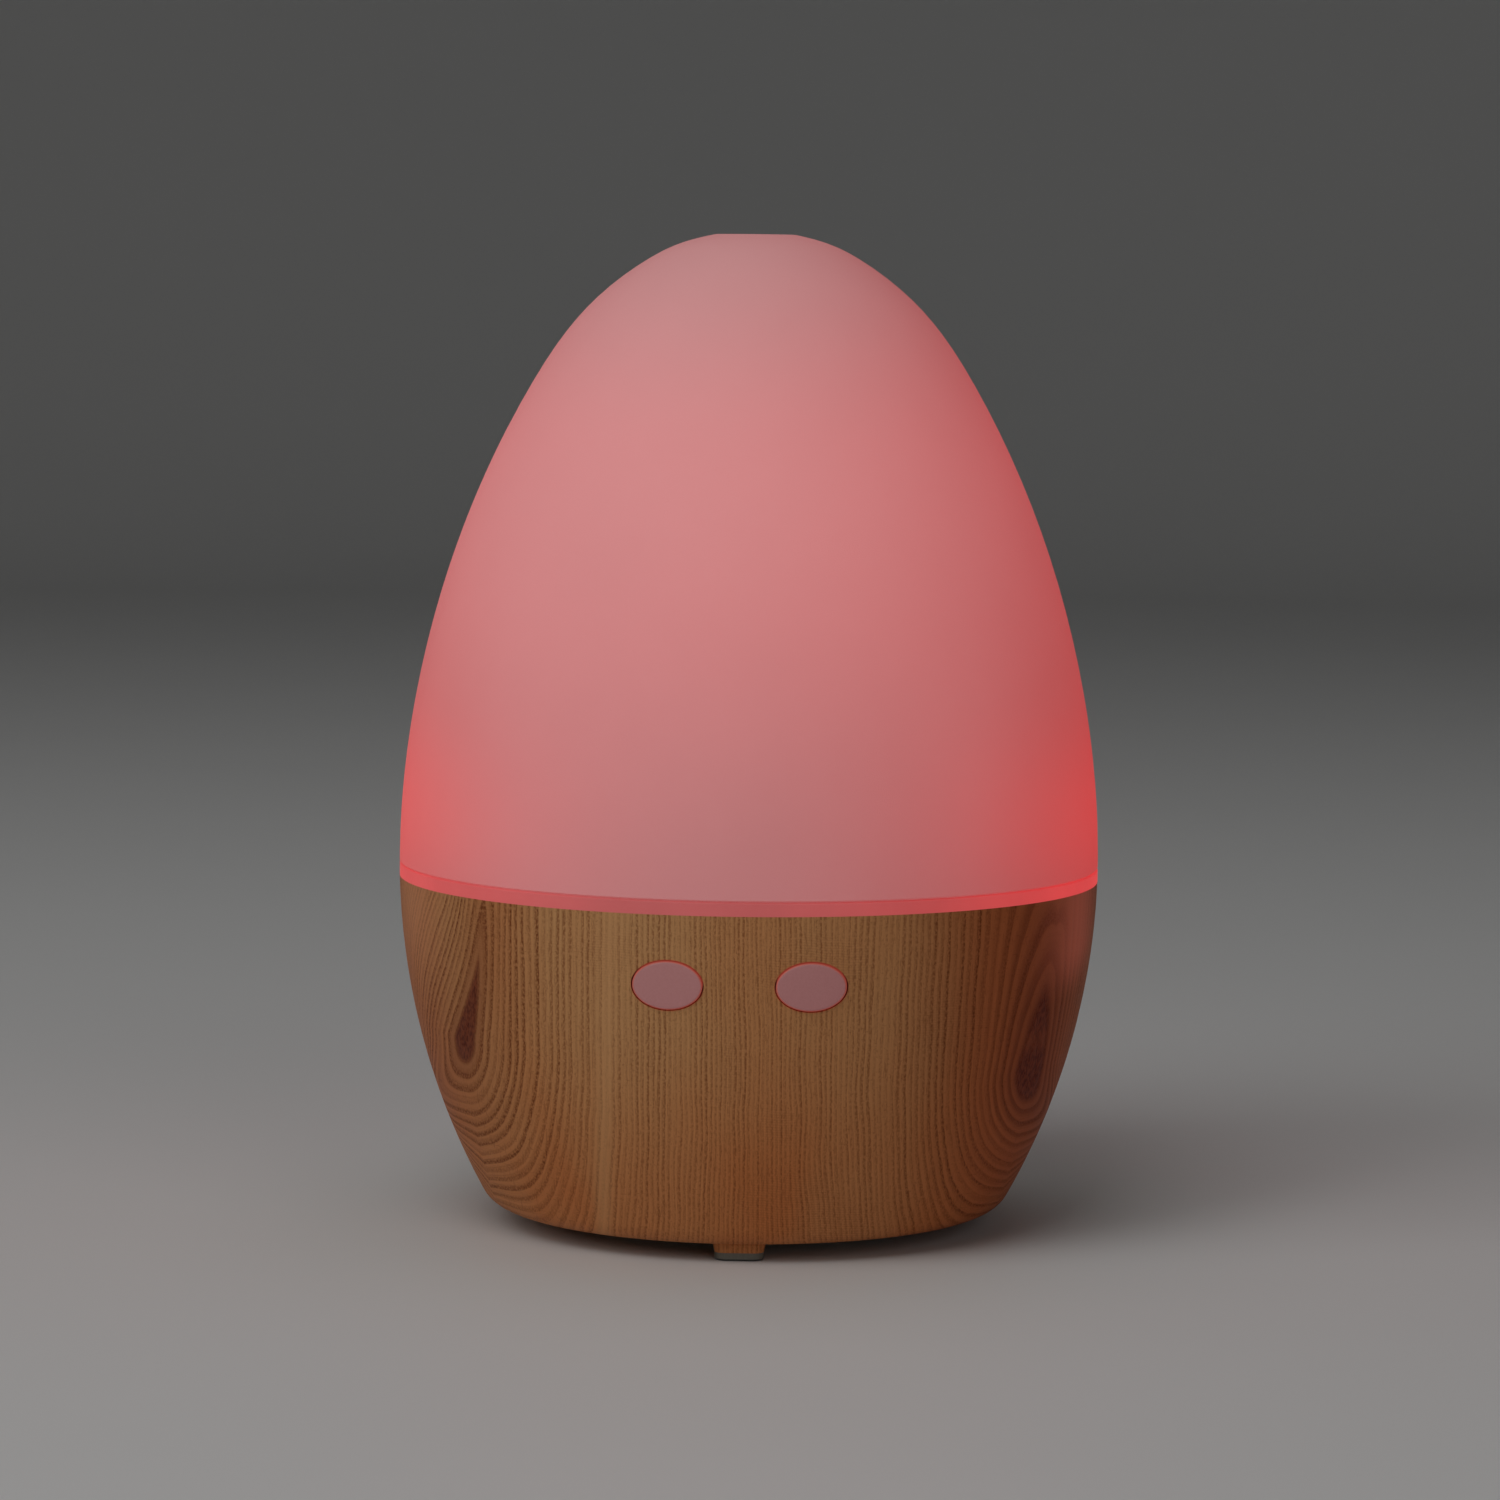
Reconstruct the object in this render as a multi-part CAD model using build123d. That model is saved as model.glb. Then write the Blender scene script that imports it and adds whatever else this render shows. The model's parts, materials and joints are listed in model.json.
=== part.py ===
from build123d import *
from math import acos, cos, radians, sin, sqrt
import os

# Egg-shaped cool mist humidifier: a frosted lift-off cover over a wood-grain base that holds the water tank,
# ultrasonic transducer, fan, circuit boards, push buttons and power socket.
#
# Millimetres. +Z is up, the origin is on the standing surface on the axis, and the buttons face -Y.

# ---- Driving dimensions ------------------------------------------------------------------------------------
body_radius = 52.5  # widest radius, at the seam between base and cover
overall_height = 148.4
foot_height = 2.6  # gap between the standing surface and the base shell
shell_rim_z = 52.3
shell_wall = 2.2
flange_thickness = 2.0  # the tank's rim, seen as a lit band between base and cover
edge_break = 0.25  # small chamfer on the two edges that meet at the seam
cover_wall = 2.0
outlet_radius = 4.8
outlet_collar_radius = 6.0
outlet_collar_depth = 5.0

# ---- Fits and cuts -----------------------------------------------------------------------------------------
far = 100.0  # past every face, for cuts that run right out of a solid
overlap = 0.5  # how far a boss or column reaches into the wall that it stands on
hole_clearance = 0.1  # added to a shank's radius where its hole is loose
head_clearance = 0.2  # added to a screw head's radius in its recess

# ---- Base shell: side and bottom corner --------------------------------------------------------------------
side_arc_radius = 104.3
side_arc_centre_z = 55.0
side_arc_centre_r = body_radius - sqrt(side_arc_radius**2 - (shell_rim_z - side_arc_centre_z) ** 2)
corner_start_z = 5.0
bottom_opening_radius = 28.8

# ---- Feet, columns and screws of the body ------------------------------------------------------------------
foot_angles = (270, 30, 150)
foot_centre_r = 32.6
foot_width = 8.2
foot_depth = 7.2
foot_taper_deg = 12
foot_corner_radius = 2.0
foot_sink = 1.0  # how far the foot's top reaches up into the shell's bottom
pad_thickness = 1.2
pad_inset = 1.05  # how much narrower the rubber pad is than the foot at its top
pad_corner_radius = 1.8
pad_edge_radius = 0.35
column_radius = 2.8
body_screw_radius = 1.3
body_screw_head_radius = 2.2
body_screw_head_z = (2.8, 4.2)
body_screw_top_z = 25.0

# ---- Bottom cover ------------------------------------------------------------------------------------------
bottom_cover_radius = 28.5
bottom_cover_z = (3.0, 5.2)
tab_angles = (90, 210, 330)
tab_width = 7.0
tab_r = (23.6, 34.0)
tab_top_z = 8.2
cover_screw_r = 25.9
cover_screw_radius = 1.1
cover_screw_head_radius = 2.1
cover_screw_head_depth = 1.2
cover_screw_tip_gap = 0.4
fan_screw_blind_depth = 0.6  # plastic left under the fan's screws in the bottom cover
grille_radius = 15.0
grille_slot_width = 2.0
grille_pitch = 3.75
grille_slots = 7

# ---- Main board --------------------------------------------------------------------------------------------
board_z = (19.0, 20.6)
board_radius = 37.0
board_hole_radius = 15.0

# ---- Water tank --------------------------------------------------------------------------------------------
tank_floor_z = (26.0, 28.0)
tank_mouth_radius = 37.7
tank_floor_radius = 33.2
tank_wall = 1.8
tank_straight_z = 49.5  # the mouth is straight above this height, and the wall tapers below it
locating_ring = (49.2, 50.1)
locating_ring_height = 1.8
gasket_r = (50.7, 51.9)
gasket_depth = 0.6

# ---- Air pipe: stands in a hole of the tank's floor, up to just under the inner cover ----------------------
air_pipe_y = 26.4
air_pipe_radius = (4.3, 5.6)
air_pipe_collar_radius = 6.6
air_pipe_collar_thickness = 1.0
air_pipe_top_z = 50.0

# ---- Transducer --------------------------------------------------------------------------------------------
transducer_window_radius = 8.5
piezo_radius = 10.0
piezo_z = (24.4, 25.6)
seal_radius = 12.0
seal_wall = 1.2  # the tank's ring round the seal
retainer_z = (22.4, 23.8)
retainer_r = (7.5, 17.5)
retainer_screw_r = 15.5
retainer_screw_radius = 1.0
retainer_screw_head_radius = 1.9
retainer_screw_angles = (30, 150, 270)
retainer_screw_head_depth = 1.1
retainer_screw_tip_gap = 0.4
retainer_boss_radius = 2.2

# ---- Inner cover -------------------------------------------------------------------------------------------
inner_flange_radius = 45.0
inner_flange_thickness = 1.5
skirt_r = (36.3, 37.3)
skirt_bottom_z = 50.8
shoulder_inset = 0.8  # the funnel starts this far inside the skirt's outer face
inner_wall = 1.4
chimney_top_z = 144.4  # the cover's outlet collar hangs just inside the chimney's top
chimney_top_radius = 7.8
chimney_base_z = 84.0
chimney_base_radius = 9.4

# ---- Fan (35 mm square, 10 mm deep) ------------------------------------------------------------------------
fan_size = 35.0
fan_z = (5.2, 15.2)
fan_corner_radius = 3.0
fan_bore_radius = 16.6
fan_hole_spacing = 29.0
fan_hole_radius = 1.5
fan_hub_radius = 8.3
fan_blades = 7
fan_blade_tip_radius = 16.0
fan_cup_wall = 1.0
fan_boss_radius = 2.0
fan_shaft_radius = 1.0
fan_shaft_z = (6.4, 14.6)
fan_running_clearance = 0.05
fan_strut_width = 1.8
fan_strut_z = (13.4, 15.2)
fan_bearing_radius = 2.2
fan_bearing_z = (7.8, 14.8)
fan_bearing_tube_radius = 3.0
fan_bearing_tube_z = (7.6, 13.9)
fan_rotor_z = (6.0, 12.9)
fan_blade_pitch_deg = 48
fan_blade_thickness = 0.9
fan_magnet_r = (6.5, 7.3)
fan_magnet_z = (7.2, 12.6)
fan_stator_z = (8.4, 12.4)
fan_core_radius = 4.2
fan_pole_half_width = 1.0
fan_shoe_r = (5.0, 5.8)
fan_shoe_half_width = 2.2
fan_screw_head_depth = 1.3

# ---- Lamps and drive parts on the main board ---------------------------------------------------------------
led_count = 6
led_ring_radius = 24.0
led_size = 5.0
led_height = 1.6
led_window_radius = 1.9
led_window_depth = 0.4
inductor_place = (-25.0, 4.6)
inductor_radius = 4.2
inductor_core_radius = 3.0
inductor_height = 7.0
inductor_lip = 1.5
winding_radius = 3.9
capacitor_place = (24.5, -8.5)
capacitor_radius = 3.15
capacitor_height = 9.0
capacitor_edge_radius = 0.5
transistor_x = (-31.0, -21.0)
transistor_y = (-7.5, -3.1)
transistor_z = (9.8, 16.8)
transistor_leg_pitch = 2.5
transistor_leg_width = 0.8
transistor_leg_y = (-5.7, -5.2)
heat_sink_x = (-32.0, -20.0)
heat_sink_plate_y = (-9.0, -7.5)
heat_sink_front_y = -14.0
heat_sink_bottom_z = 9.0
heat_sink_fins = 4
heat_sink_fin_thickness = 1.2
chip_x = (7.0, 15.6)
chip_y = (-26.0, -22.1)
chip_thickness = 1.5
chip_leads = 7
chip_lead_pitch = 1.27
chip_lead_width = 0.4
chip_lead_thickness = 0.3
chip_lead_reach = 1.0
resistor_count = 6
resistor_ring_radius = 20.0
resistor_first_angle = 222
resistor_step_angle = 8
resistor_size = (1.6, 0.8, 0.5)

# ---- Wires and their sockets -------------------------------------------------------------------------------
fan_socket_x = (21.0, 27.0)
fan_socket_y = (1.0, 6.0)
fan_socket_bottom_z = 14.5
fan_wire_y = 10.0
fan_wire_z = 9.0
fan_wire_end = (24.2, 3.5)
fan_wire_diameter = 1.1
fan_wire_spacing = 1.6
transducer_socket_x = (-23.5, -17.8)
transducer_socket_y = (-12.8, -6.6)
transducer_socket_height = 4.0
transducer_wire_z = 21.5
transducer_wire_end_y = -9.7
transducer_wire_diameter = 1.0
transducer_wire_spacing = 2.2
transducer_wire_x = -4.0  # where the pair leaves the disc
transducer_wire_bend_x = -11.0
ribbon_x = 9.0
ribbon_width = 6.0
ribbon_thickness = 0.8
ribbon_start_z = 37.5
ribbon_z = 22.8
ribbon_bend_radius = 1.6
ribbon_reach = 2.0  # how far the cable stands off the back of the button board
ribbon_socket_y = (-34.4, -29.4)
ribbon_socket_margin = 0.6
ribbon_socket_height = 2.0  # above the middle of the cable

# ---- Push buttons ------------------------------------------------------------------------------------------
button_x = 10.2
button_z = 42.2
button_half = (5.0, 3.5)  # half width and half height of the oval face
button_gap = 0.2
button_proud = 0.4
button_travel = 0.4
button_flange_half = (6.2, 4.7)
button_flange_y = (-46.2, -45.2)
switch_half = 3.0
switch_y = (-44.6, -42.4)
plunger_radius = 1.65
plunger_back_y = -43.5
button_board_y = (-42.4, -41.2)
button_board_half_width = 17.0
button_board_z = (36.0, 48.4)
button_boss_z = (38.6, 46.0)
button_boss_radius = 2.4
button_screw_radius = 0.9
button_screw_front_y = -47.0
button_boss_hole_y = -48.0
button_screw_head_radius = 1.8
button_screw_head_depth = 1.1

# ---- Power socket ------------------------------------------------------------------------------------------
jack_z = 13.5
jack_half_width = 4.5
jack_body_y = (26.5, 38.5)
jack_body_z = (8.5, 19.0)
jack_nose_radius = 4.0
jack_nose_end_y = 42.3
jack_bore_radius = 3.2
jack_bore_end_y = 30.0
jack_pin_radius = 1.0
jack_pin_root_radius = 1.6
jack_pin_recess = 0.5  # the pin's root ends this far inside the back of the housing
jack_pin_end_y = 40.8
shell_jack_hole_radius = 4.3


# ---- Helpers -----------------------------------------------------------------------------------------------
def polar(radius, angle_deg):
    """X and Y of a point at that radius and angle, with 270 degrees at the front."""
    return radius * cos(radians(angle_deg)), radius * sin(radians(angle_deg))


def turned(edges):
    """Solid of revolution about Z from closed edges drawn as (radius, height)."""
    return revolve(Plane.XZ * make_face(edges), Axis.Z)


def ring(points):
    """Solid of revolution from a polygon of (radius, height) points."""
    return turned(Polyline(*points, close=True).edges())


def tube(inner, outer, bottom, top):
    """Plain ring of rectangular section."""
    return ring([(inner, bottom), (outer, bottom), (outer, top), (inner, top)])


def rod(x, y, radius, bottom, top):
    """Upright cylinder."""
    return Pos(x, y, (bottom + top) / 2) * Cylinder(radius, top - bottom)


def rod_y(x, z, radius, start, end):
    """Cylinder along Y."""
    return Pos(x, (start + end) / 2, z) * Rot(90, 0, 0) * Cylinder(radius, end - start)


def block(x, y, z):
    """Box between two limits on each axis."""
    return Pos(*[(a + b) / 2 for a, b in (x, y, z)]) * Box(x[1] - x[0], y[1] - y[0], z[1] - z[0])


def oval_prism(x, half, start_y, end_y):
    """Oval button outline pushed along Y, between two Y positions in front of the axis."""
    outline = Plane.XZ.offset(-end_y) * Pos(x, button_z) * Ellipse(*half)
    return extrude(outline, end_y - start_y)


def inset_spline(edge, depth, shares):
    """Spline a wall thickness to the left of an edge, through the given shares of its length."""
    points = []
    for share in shares:
        place = edge @ share
        along = edge % share
        points.append((place.X - along.Y * depth, place.Y + along.X * depth))
    return points


def wire_tube(points, radii, diameter):
    """Round wire along straight runs joined by tangent arcs."""
    path = FilletPolyline(*points, radius=radii)
    section = Plane(origin=path @ 0, z_dir=path % 0) * Circle(diameter / 2)
    return sweep(section, path=path)


# ---- Base shell --------------------------------------------------------------------------------------------
def side_radius(z, inset=0.0):
    """Radius of the base shell's side at a height, or of a surface that far inside it."""
    return side_arc_centre_r + sqrt((side_arc_radius - inset) ** 2 - (z - side_arc_centre_z) ** 2)


def bowl(inset, bottom_z, top_z):
    """Solid filling the base shell's side and rounded bottom corner, at an inset from the outer face."""
    start_z = corner_start_z + inset
    start_r = side_radius(start_z, inset)
    slope = acos((side_arc_centre_z - start_z) / (side_arc_radius - inset))
    corner_radius = (start_z - bottom_z) / (1 - cos(slope))
    flat_r = start_r - corner_radius * sin(slope)
    middle = slope / 2
    corner_middle = (flat_r + corner_radius * sin(middle), bottom_z + corner_radius * (1 - cos(middle)))
    rim_r = side_radius(top_z, inset)
    middle_z = (top_z + start_z) / 2
    edges = [
        Line((0, top_z), (rim_r, top_z)),
        ThreePointArc((rim_r, top_z), (side_radius(middle_z, inset), middle_z), (start_r, start_z)),
        ThreePointArc((start_r, start_z), corner_middle, (flat_r, bottom_z)),
        Line((flat_r, bottom_z), (0, bottom_z)),
        Line((0, bottom_z), (0, top_z)),
    ]
    return turned(edges)


def foot_stub(angle):
    """Tapered foot under the shell, with rounded corners."""
    outline = RectangleRounded(foot_depth, foot_width, foot_corner_radius)
    top_z = foot_height + foot_sink
    down = Plane(origin=(0, 0, top_z), x_dir=(1, 0, 0), z_dir=(0, 0, -1))
    stub = extrude(down * Pos(foot_centre_r, 0) * outline, top_z - pad_thickness, taper=foot_taper_deg)
    return Rot(0, 0, angle) * stub


def make_base_shell():
    inner_bottom_z = foot_height + shell_wall
    shell = bowl(0, foot_height, shell_rim_z) - bowl(shell_wall, inner_bottom_z, shell_rim_z)
    shell -= rod(0, 0, bottom_opening_radius, 0, inner_bottom_z + 1)
    for angle in foot_angles:
        x, y = polar(foot_centre_r, angle)
        shell += foot_stub(angle)
        shell += rod(x, y, column_radius, inner_bottom_z - overlap, board_z[0])
    tab_y = (-tab_width / 2, tab_width / 2)
    over_ring = block((bottom_opening_radius, tab_r[1]), tab_y, (inner_bottom_z - overlap, tab_top_z))
    over_cover = block(tab_r, tab_y, (bottom_cover_z[1], tab_top_z))
    for angle in tab_angles:
        shell += Rot(0, 0, angle) * (over_ring + over_cover)
    for z in button_boss_z:
        boss = rod_y(0, z, button_boss_radius, -side_radius(z) + shell_wall / 2, button_board_y[0])
        shell += boss - rod_y(0, z, button_screw_radius, button_boss_hole_y, button_board_y[0])
    for x in (-button_x, button_x):
        shell -= oval_prism(x, [half + button_gap for half in button_half], -far, switch_y[0])
    for angle in foot_angles:
        x, y = polar(foot_centre_r, angle)
        shell -= rod(x, y, body_screw_radius, 0, board_z[0])
        shell -= rod(x, y, body_screw_head_radius + head_clearance, 0, body_screw_head_z[1])
    for angle in tab_angles:
        x, y = polar(cover_screw_r, angle)
        shell -= rod(x, y, cover_screw_radius, 0, tab_top_z)
    shell -= rod_y(0, jack_z, shell_jack_hole_radius, jack_body_y[1], far)
    return shell


def make_foot_pad(angle):
    outline = RectangleRounded(foot_depth - pad_inset, foot_width - pad_inset, pad_corner_radius)
    pad = extrude(Pos(foot_centre_r, 0) * outline, pad_thickness)
    pad = fillet(pad.faces().sort_by(Axis.Z)[0].edges(), pad_edge_radius)
    return Rot(0, 0, angle) * pad


def make_body_screws():
    """Three long screws that clamp shell, board and tank together. Their heads sit under the foot pads."""
    screws = []
    for angle in foot_angles:
        x, y = polar(foot_centre_r, angle)
        shank = rod(x, y, body_screw_radius, body_screw_head_z[1], body_screw_top_z)
        screws.append(screw_head(x, y, body_screw_head_radius, *body_screw_head_z) + shank)
    return Compound(screws)


def screw_head(x, y, radius, bottom, top):
    """Round head with a cross recess in its underside."""
    head = rod(x, y, radius, bottom, top)
    half_length = 0.6 * radius
    half_width = 0.15 * radius
    recess_z = (bottom, bottom + 0.6 * (top - bottom))
    for half_x, half_y in ((half_length, half_width), (half_width, half_length)):
        head -= block((x - half_x, x + half_x), (y - half_y, y + half_y), recess_z)
    return head


# ---- Bottom cover ------------------------------------------------------------------------------------------
def make_bottom_cover():
    cover = rod(0, 0, bottom_cover_radius, *bottom_cover_z)
    for n in range(grille_slots):
        x = (n - (grille_slots - 1) / 2) * grille_pitch
        half_length = sqrt(grille_radius**2 - x**2)
        slot = SlotOverall(2 * half_length, grille_slot_width, rotation=90)
        cover -= extrude(Pos(x, 0, 0) * slot, far)
    for angle in tab_angles:
        x, y = polar(cover_screw_r, angle)
        head_top = bottom_cover_z[0] + cover_screw_head_depth
        cover -= rod(x, y, cover_screw_radius + hole_clearance, 0, far)
        cover -= rod(x, y, cover_screw_head_radius + head_clearance, 0, head_top)
    for x, y in fan_screw_places():
        cover -= rod(x, y, cover_screw_radius, bottom_cover_z[0] + fan_screw_blind_depth, far)
    return cover


def make_bottom_cover_screws():
    screws = []
    head_top = bottom_cover_z[0] + cover_screw_head_depth
    for angle in tab_angles:
        x, y = polar(cover_screw_r, angle)
        head = screw_head(x, y, cover_screw_head_radius, bottom_cover_z[0], head_top)
        screws.append(head + rod(x, y, cover_screw_radius, head_top, tab_top_z - cover_screw_tip_gap))
    return Compound(screws)


# ---- Water tank --------------------------------------------------------------------------------------------
def make_water_tank():
    flange_top = shell_rim_z + flange_thickness
    straight_outer_z = tank_straight_z - 1
    outer_mouth = tank_mouth_radius + tank_wall
    outer_floor = tank_floor_radius + tank_wall
    tank = ring(
        [
            (transducer_window_radius, tank_floor_z[0]),
            (outer_floor, tank_floor_z[0]),
            (outer_mouth, straight_outer_z),
            (outer_mouth, shell_rim_z),
            (body_radius, shell_rim_z),
            (body_radius, flange_top - edge_break),
            (body_radius - edge_break, flange_top),
            (locating_ring[1], flange_top),
            (locating_ring[1], flange_top + locating_ring_height),
            (locating_ring[0], flange_top + locating_ring_height),
            (locating_ring[0], flange_top),
            (tank_mouth_radius, flange_top),
            (tank_mouth_radius, tank_straight_z),
            (tank_floor_radius, tank_floor_z[1]),
            (transducer_window_radius, tank_floor_z[1]),
        ]
    )
    tank -= tube(*gasket_r, shell_rim_z - 1, shell_rim_z + gasket_depth)
    tank -= rod(0, air_pipe_y, air_pipe_radius[1], tank_floor_z[0] - 1, tank_floor_z[1] + 1)
    tank += tube(seal_radius, seal_radius + seal_wall, piezo_z[0], tank_floor_z[0])
    for angle in foot_angles:
        x, y = polar(foot_centre_r, angle)
        tank += rod(x, y, column_radius, board_z[1], tank_floor_z[0] + overlap)
        tank -= rod(x, y, body_screw_radius, board_z[1] - 1, body_screw_top_z)
    for angle in retainer_screw_angles:
        x, y = polar(retainer_screw_r, angle)
        tank += rod(x, y, retainer_boss_radius, retainer_z[1], tank_floor_z[0] + overlap)
        tank -= rod(x, y, retainer_screw_radius, retainer_z[1] - 1, tank_floor_z[0])
    return tank


def make_tank_gasket():
    return tube(*gasket_r, shell_rim_z, shell_rim_z + gasket_depth)


def make_air_pipe():
    """Upright pipe with a collar that sits on the tank's floor. It stays open above the water."""
    collar_top_z = tank_floor_z[1] + air_pipe_collar_thickness
    pipe = rod(0, air_pipe_y, air_pipe_radius[1], tank_floor_z[0], air_pipe_top_z)
    pipe += rod(0, air_pipe_y, air_pipe_collar_radius, tank_floor_z[1], collar_top_z)
    return pipe - rod(0, air_pipe_y, air_pipe_radius[0], 0, far)


# ---- Transducer --------------------------------------------------------------------------------------------
def make_transducer_seal():
    """Silicone ring whose groove grips the disc's edge."""
    return ring(
        [
            (transducer_window_radius, retainer_z[1]),
            (seal_radius, retainer_z[1]),
            (seal_radius, tank_floor_z[0]),
            (transducer_window_radius, tank_floor_z[0]),
            (transducer_window_radius, piezo_z[1]),
            (piezo_radius, piezo_z[1]),
            (piezo_radius, piezo_z[0]),
            (transducer_window_radius, piezo_z[0]),
        ]
    )


def make_transducer_retainer():
    plate = tube(*retainer_r, *retainer_z)
    for angle in retainer_screw_angles:
        x, y = polar(retainer_screw_r, angle)
        plate -= rod(x, y, retainer_screw_radius + hole_clearance, 0, far)
    return plate


def make_retainer_screws():
    screws = []
    for angle in retainer_screw_angles:
        x, y = polar(retainer_screw_r, angle)
        head_bottom = retainer_z[0] - retainer_screw_head_depth
        head = screw_head(x, y, retainer_screw_head_radius, head_bottom, retainer_z[0])
        tip = tank_floor_z[0] - retainer_screw_tip_gap
        screws.append(head + rod(x, y, retainer_screw_radius, retainer_z[0], tip))
    return Compound(screws)


# ---- Covers ------------------------------------------------------------------------------------------------
def make_outer_cover():
    """Frosted egg with a flat top round the mist outlet and a short collar under it."""
    seat_z = shell_rim_z + flange_thickness
    collar_end_z = overall_height - outlet_collar_depth
    outline = Spline(
        (body_radius, seat_z + edge_break),
        (50.1, 79.8),
        (42.9, 105.5),
        (33.1, 126.1),
        (23.9, 138.5),
        (15.0, 145.2),
        (outlet_collar_radius, overall_height),
        tangents=[(0, 1), (-1, 0.2)],
    )
    inside = [(body_radius - cover_wall, seat_z)]
    inside += inset_spline(outline, cover_wall, (0.18, 0.36, 0.54, 0.7, 0.82, 0.92))
    inside.append((outlet_collar_radius, overall_height - cover_wall))
    edges = [
        outline,
        Line((outlet_collar_radius, overall_height), (outlet_radius, overall_height)),
        Line((outlet_radius, overall_height), (outlet_radius, collar_end_z)),
        Line((outlet_radius, collar_end_z), (outlet_collar_radius, collar_end_z)),
        Line((outlet_collar_radius, collar_end_z), inside[-1]),
        Spline(*inside, tangents=[(0, 1), (-1, 0.1)]),
        Line(inside[0], (body_radius - edge_break, seat_z)),
        Line((body_radius - edge_break, seat_z), (body_radius, seat_z + edge_break)),
    ]
    return turned(edges)


def make_inner_cover():
    """Funnel that closes the tank and carries the mist up a chimney to just under the outlet."""
    seat_z = shell_rim_z + flange_thickness
    shoulder_r = skirt_r[1] - shoulder_inset
    shoulder_z = seat_z + inner_flange_thickness
    funnel = Spline(
        (shoulder_r, shoulder_z),
        (20.0, 64.6),
        (chimney_base_radius, chimney_base_z),
        tangents=[(-1, 0.35), (0, 1)],
    )
    inside = inset_spline(funnel, inner_wall, (0.08, 0.35, 0.6, 0.8, 1))
    inside_funnel = Spline(*inside)
    edges = [
        Line((skirt_r[0], skirt_bottom_z), (skirt_r[1], skirt_bottom_z)),
        Line((skirt_r[1], skirt_bottom_z), (skirt_r[1], seat_z)),
        Line((skirt_r[1], seat_z), (inner_flange_radius, seat_z)),
        Line((inner_flange_radius, seat_z), (inner_flange_radius, shoulder_z)),
        Line((inner_flange_radius, shoulder_z), (shoulder_r, shoulder_z)),
        funnel,
        Line((chimney_base_radius, chimney_base_z), (chimney_top_radius, chimney_top_z)),
        Line((chimney_top_radius, chimney_top_z), (chimney_top_radius - inner_wall, chimney_top_z)),
        Line((chimney_top_radius - inner_wall, chimney_top_z), inside[-1]),
        inside_funnel,
        Line(inside[0], (skirt_r[0], seat_z)),
        Line((skirt_r[0], seat_z), (skirt_r[0], skirt_bottom_z)),
    ]
    return turned(edges)


# ---- Fan ---------------------------------------------------------------------------------------------------
def fan_screw_places():
    half = fan_hole_spacing / 2
    return (-half, half), (half, -half)


def make_fan_frame():
    """Square frame with four struts at the top that hold the motor's seat and the bearing tube."""
    outline = RectangleRounded(fan_size, fan_size, fan_corner_radius)
    frame = extrude(Pos(0, 0, fan_z[0]) * outline, fan_z[1] - fan_z[0])
    frame -= rod(0, 0, fan_bore_radius, 0, far)
    strut = block((0, fan_size / 2 - overlap), (-fan_strut_width / 2, fan_strut_width / 2), fan_strut_z)
    for angle in (45, 135, 225, 315):
        frame += Rot(0, 0, angle) * strut
    frame += rod(0, 0, fan_hub_radius - 0.3, *fan_strut_z)
    frame += rod(0, 0, fan_bearing_tube_radius, *fan_bearing_tube_z)
    frame -= rod(0, 0, fan_bearing_radius, 0, far)
    for x in (-fan_hole_spacing / 2, fan_hole_spacing / 2):
        for y in (-fan_hole_spacing / 2, fan_hole_spacing / 2):
            frame -= rod(x, y, fan_hole_radius, 0, far)
    return frame


def make_fan_bearing():
    return tube(fan_shaft_radius + fan_running_clearance, fan_bearing_radius, *fan_bearing_z)


def make_fan_stator():
    """Ring core with four wound poles, inside the rotor cup."""
    low, high = fan_stator_z
    core = tube(fan_bearing_tube_radius, fan_core_radius, low, high)
    pole_r = (fan_core_radius - overlap, fan_shoe_r[0] + overlap)
    pole = block(pole_r, (-fan_pole_half_width, fan_pole_half_width), (low + 0.6, high - 0.6))
    shoe = block(fan_shoe_r, (-fan_shoe_half_width, fan_shoe_half_width), (low, high))
    for angle in (0, 90, 180, 270):
        core += Rot(0, 0, angle) * (pole + shoe)
    return core


def make_fan_rotor():
    """Cup with tilted blades round it, and a boss inside that holds the shaft."""
    low, high = fan_rotor_z
    floor_z = low + fan_cup_wall
    rotor = rod(0, 0, fan_hub_radius, low, high) - rod(0, 0, fan_hub_radius - fan_cup_wall, floor_z, high)
    rotor += rod(0, 0, fan_boss_radius, floor_z - 0.2, floor_z + 0.4)
    blade_zone = tube(fan_hub_radius - overlap, fan_blade_tip_radius, low + 0.2, high)
    span = fan_blade_tip_radius - fan_hub_radius + 3
    blade = Rot(fan_blade_pitch_deg, 0, 0) * Box(span, fan_blade_thickness, 2 * (high - low))
    blade = Pos((fan_hub_radius + fan_blade_tip_radius) / 2, 0, (low + high) / 2) * blade
    blade = blade & blade_zone
    for n in range(fan_blades):
        rotor += Rot(0, 0, n * 360 / fan_blades) * blade
    return rotor - rod(0, 0, fan_shaft_radius, fan_shaft_z[0], high)


def make_fan_screws():
    screws = []
    for x, y in fan_screw_places():
        tip = bottom_cover_z[0] + fan_screw_blind_depth + 0.2
        shank = rod(x, y, cover_screw_radius, tip, fan_z[1])
        head = rod(x, y, cover_screw_head_radius, fan_z[1], fan_z[1] + fan_screw_head_depth)
        screws.append(head + shank)
    return Compound(screws)


# ---- Main board and its parts ------------------------------------------------------------------------------
def make_main_board():
    board = tube(board_hole_radius, board_radius, *board_z)
    for angle in foot_angles:
        x, y = polar(foot_centre_r, angle)
        board -= rod(x, y, body_screw_radius + hole_clearance, 0, far)
    return board


def make_led(angle):
    """Square surface-mount lamp with a round lens window."""
    x, y = polar(led_ring_radius, angle)
    half = led_size / 2
    top_z = board_z[1] + led_height
    package = block((x - half, x + half), (y - half, y + half), (board_z[1], top_z))
    return package - rod(x, y, led_window_radius, top_z - led_window_depth, far)


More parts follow.
